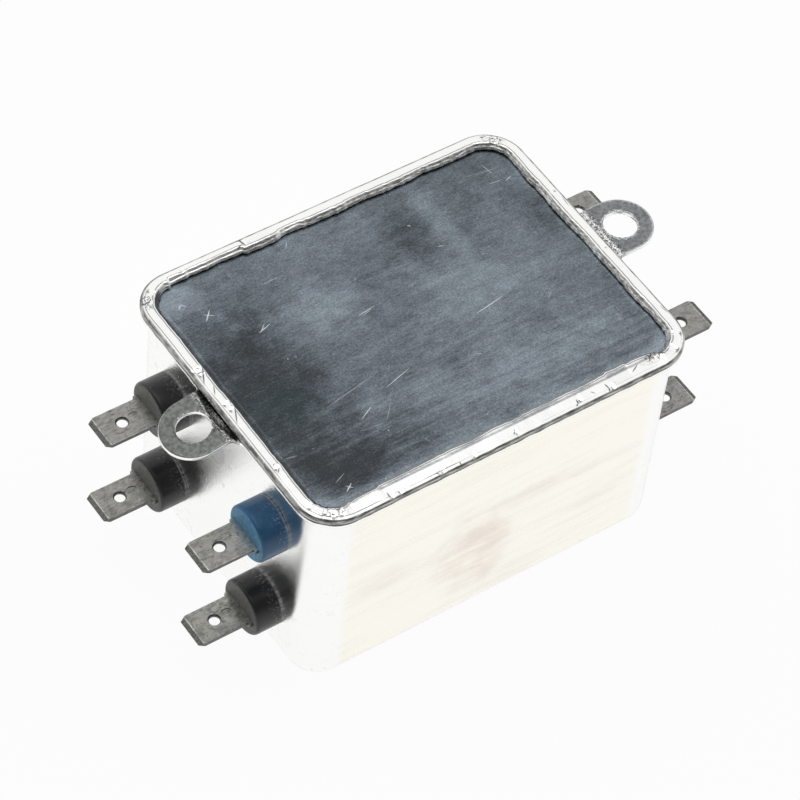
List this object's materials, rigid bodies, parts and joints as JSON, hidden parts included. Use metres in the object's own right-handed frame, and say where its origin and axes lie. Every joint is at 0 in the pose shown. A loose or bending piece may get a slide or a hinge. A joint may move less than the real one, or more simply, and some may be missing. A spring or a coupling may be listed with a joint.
{
  "type": "emi line filter",
  "caption": "Line filter in a drawn steel can with a rolled-rim closing plate, two mounting ears and push-on tab terminals in two rows on both short sides.",
  "frame": {"origin": "middle of the closed end of the can, in plan between the two ear holes", "axes": "+X from the line side to the load side, through both ear holes; +Z out of the closed end towards the closing plate; +Y to the side away from the neutral terminals"},
  "size_m": [0.1006, 0.0574, 0.0448],
  "materials": {
    "housing_steel": "bright tin-plated steel, brushed along X",
    "plate_steel": "tin-plated steel sheet, brushed, marked by its forming tool",
    "insulating_sheet": "insulating fibre sheet",
    "potting_resin": "hard casting resin",
    "carrier_plastic": "moulded plastic",
    "ferrite": "coated ferrite",
    "copper_wire": "enamelled copper",
    "board_laminate": "glass fibre laminate with solder resist",
    "film_box": "moulded box",
    "disc_coating": "dipped resin coating",
    "resistor_body": "lacquered body",
    "strap_steel": "tinned steel strip",
    "insulator_black": "moulded plastic, slightly dusty",
    "insulator_blue": "moulded plastic",
    "terminal_tab": "tin-plated brass, a little dull"
  },
  "bodies": {
    "root": {"housing": "housing_steel", "closing_plate": "plate_steel", "insulating_sheet": "insulating_sheet", "potting": "potting_resin", "choke_carrier": "carrier_plastic", "choke_core": "ferrite", "winding_l1": "copper_wire", "winding_l2": "copper_wire", "winding_l3": "copper_wire", "winding_n": "copper_wire", "circuit_board": "board_laminate", "x_capacitor_l1": "film_box", "x_capacitor_l2": "film_box", "x_capacitor_l3": "film_box", "y_capacitor_l1": "disc_coating", "y_capacitor_l2": "disc_coating", "y_capacitor_l3": "disc_coating", "y_capacitor_n": "disc_coating", "bleed_resistor_l1": "resistor_body", "bleed_resistor_l2": "resistor_body", "bleed_resistor_l3": "resistor_body", "earth_strap": "strap_steel", "line_l1_insulator": "insulator_black", "line_l2_insulator": "insulator_black", "line_l3_insulator": "insulator_black", "line_n_insulator": "insulator_blue", "load_l1_insulator": "insulator_black", "load_l2_insulator": "insulator_black", "load_l3_insulator": "insulator_black", "load_n_insulator": "insulator_blue", "line_l1_tab": "terminal_tab", "line_l2_tab": "terminal_tab", "line_l3_tab": "terminal_tab", "line_n_tab": "terminal_tab", "load_l1_tab": "terminal_tab", "load_l2_tab": "terminal_tab", "load_l3_tab": "terminal_tab", "load_n_tab": "terminal_tab", "line_l1_lead": "copper_wire", "line_l2_lead": "copper_wire", "line_l3_lead": "copper_wire", "line_n_lead": "copper_wire", "load_l1_lead": "copper_wire", "load_l2_lead": "copper_wire", "load_l3_lead": "copper_wire", "load_n_lead": "copper_wire"}
  },
  "joints": []
}
